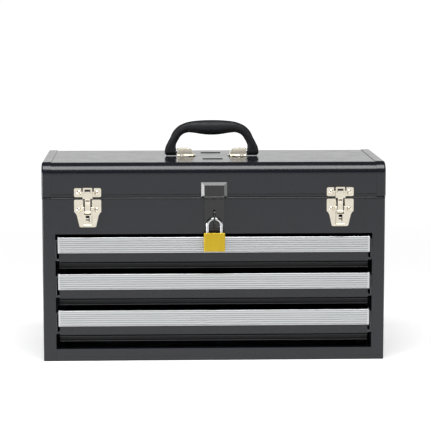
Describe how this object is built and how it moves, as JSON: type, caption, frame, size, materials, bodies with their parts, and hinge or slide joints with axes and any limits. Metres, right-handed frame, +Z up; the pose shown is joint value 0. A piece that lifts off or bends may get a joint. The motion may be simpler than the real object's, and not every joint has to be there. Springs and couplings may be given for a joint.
{
  "type": "portable tool box with drawers",
  "caption": "Portable steel tool box with sliding drawers under a hinged lid, a folding carry handle, draw latches, and a hasp closed by a padlock.",
  "frame": {"origin": "centre of the case's flat underside, on the surface it stands on", "axes": "+Z up, drawers open towards -Y, the box is widest along X"},
  "size_m": [0.5212, 0.2398, 0.3589],
  "materials": {
    "paint": "satin charcoal powder coat",
    "aluminium": "brushed, clear anodised",
    "nickel": "nickel plated, satin",
    "zinc": "zinc plated",
    "rubber": "fine matt moulding",
    "brass": "polished, lacquered",
    "bright_steel": "polished",
    "black_steel": "black electrophoretic coat"
  },
  "bodies": {
    "case": {"side_left": "paint", "side_right": "paint", "back_panel": "paint", "base_pan": "paint", "front_panel": "paint", "till_floor": "paint", "rim": "paint", "rear_post_left": "zinc", "rear_post_right": "zinc", "runners_left": "zinc", "runners_right": "zinc", "hinge_leaf_case": "zinc", "hinge_pin": "zinc", "latch_base_left": "nickel", "latch_base_right": "nickel", "latch_pivots": "nickel", "case_rivets": "nickel", "staple": "black_steel", "stay_pins_case": "zinc"},
    "lid": {"hinge_leaf_lid": "zinc", "lid_shell": "paint", "lid_end_left": "paint", "lid_end_right": "paint", "handle_bracket_left": "nickel", "handle_bracket_right": "nickel", "catch_left": "nickel", "catch_right": "nickel", "lid_rivets": "nickel", "hasp_plate": "black_steel", "hasp_pin": "black_steel", "stay_pins_lid": "zinc"},
    "handle": {"handle_core": "bright_steel", "handle_grip": "rubber"},
    "drawer_top": {"tray_top": "paint", "front_top": "paint", "pull_top": "aluminium", "pull_clips_top": "aluminium", "slides_top": "zinc"},
    "drawer_middle": {"tray_middle": "paint", "front_middle": "paint", "pull_middle": "aluminium", "pull_clips_middle": "aluminium", "slides_middle": "zinc"},
    "drawer_bottom": {"tray_bottom": "paint", "front_bottom": "paint", "pull_bottom": "aluminium", "pull_clips_bottom": "aluminium", "slides_bottom": "zinc"},
    "latch_lever_left": {"lever_left": "nickel", "claw_pin_left": "nickel"},
    "latch_lever_right": {"lever_right": "nickel", "claw_pin_right": "nickel"},
    "latch_claw_left": {"claw_left": "nickel"},
    "latch_claw_right": {"claw_right": "nickel"},
    "hasp_flap": {"hasp_strap": "black_steel"},
    "padlock_shackle": {"shackle": "bright_steel"},
    "padlock_body": {"lock_body": "brass"},
    "padlock_plug": {"key_plug": "nickel"},
    "lid_stay_left": {"stay_left": "zinc"},
    "lid_stay_right": {"stay_right": "zinc"}
  },
  "joints": [
    {"name": "lid_hinge", "type": "hinge", "parent": "case", "child": "lid", "pos_m": [0, 0.112, 0.2504], "axis": [-1, 0, 0], "range_deg": [0, 95]},
    {"name": "handle_swing", "type": "hinge", "parent": "lid", "child": "handle", "pos_m": [0, 0.01, 0.3096], "axis": [1, 0, 0], "range_deg": [-72, 72]},
    {"name": "drawer_top_slide", "type": "slide", "parent": "case", "child": "drawer_top", "axis": [0, -1, 0], "range_m": [0, 0.165]},
    {"name": "drawer_middle_slide", "type": "slide", "parent": "case", "child": "drawer_middle", "axis": [0, -1, 0], "range_m": [0, 0.165]},
    {"name": "drawer_bottom_slide", "type": "slide", "parent": "case", "child": "drawer_bottom", "axis": [0, -1, 0], "range_m": [0, 0.165]},
    {"name": "latch_lever_left_turn", "type": "hinge", "parent": "case", "child": "latch_lever_left", "pos_m": [-0.191, -0.1143, 0.2348], "axis": [-1, 0, 0], "range_deg": [0, 100]},
    {"name": "latch_claw_left_turn", "type": "hinge", "parent": "latch_lever_left", "child": "latch_claw_left", "pos_m": [-0.191, -0.1127, 0.2288], "axis": [-1, 0, 0], "range_deg": [-113, 1]},
    {"name": "latch_lever_right_turn", "type": "hinge", "parent": "case", "child": "latch_lever_right", "pos_m": [0.191, -0.1143, 0.2348], "axis": [-1, 0, 0], "range_deg": [0, 100]},
    {"name": "latch_claw_right_turn", "type": "hinge", "parent": "latch_lever_right", "child": "latch_claw_right", "pos_m": [0.191, -0.1127, 0.2288], "axis": [-1, 0, 0], "range_deg": [-113, 1]},
    {"name": "hasp_turn", "type": "hinge", "parent": "lid", "child": "hasp_flap", "pos_m": [0, -0.113, 0.2508], "axis": [-1, 0, 0], "range_deg": [0, 104]},
    {"name": "padlock_swing", "type": "hinge", "parent": "case", "child": "padlock_shackle", "pos_m": [0, -0.1186, 0.2191], "axis": [-1, 0, 0], "range_deg": [0, 90]},
    {"name": "padlock_drop", "type": "slide", "parent": "padlock_shackle", "child": "padlock_body", "axis": [0, 0, -1], "range_m": [0, 0.008]},
    {"name": "key_turn", "type": "hinge", "parent": "padlock_body", "child": "padlock_plug", "pos_m": [0, -0.1186, 0.1748], "axis": [0, 0, 1], "range_deg": [0, 90]},
    {"name": "stay_left_turn", "type": "hinge", "parent": "lid", "child": "lid_stay_left", "pos_m": [-0.2545, 0.08475, 0.27392], "axis": [-1, 0, 0], "range_deg": [-48, 0.5]},
    {"name": "stay_right_turn", "type": "hinge", "parent": "lid", "child": "lid_stay_right", "pos_m": [0.2545, 0.08475, 0.27392], "axis": [-1, 0, 0], "range_deg": [-48, 0.5]}
  ],
  "couplings": [
    {"joint": "latch_claw_left_turn", "follows": "latch_lever_left_turn", "ratio": -1.12},
    {"joint": "latch_claw_right_turn", "follows": "latch_lever_right_turn", "ratio": -1.12},
    {"joint": "stay_left_turn", "follows": "lid_hinge", "ratio": -0.5},
    {"joint": "stay_right_turn", "follows": "lid_hinge", "ratio": -0.5}
  ]
}
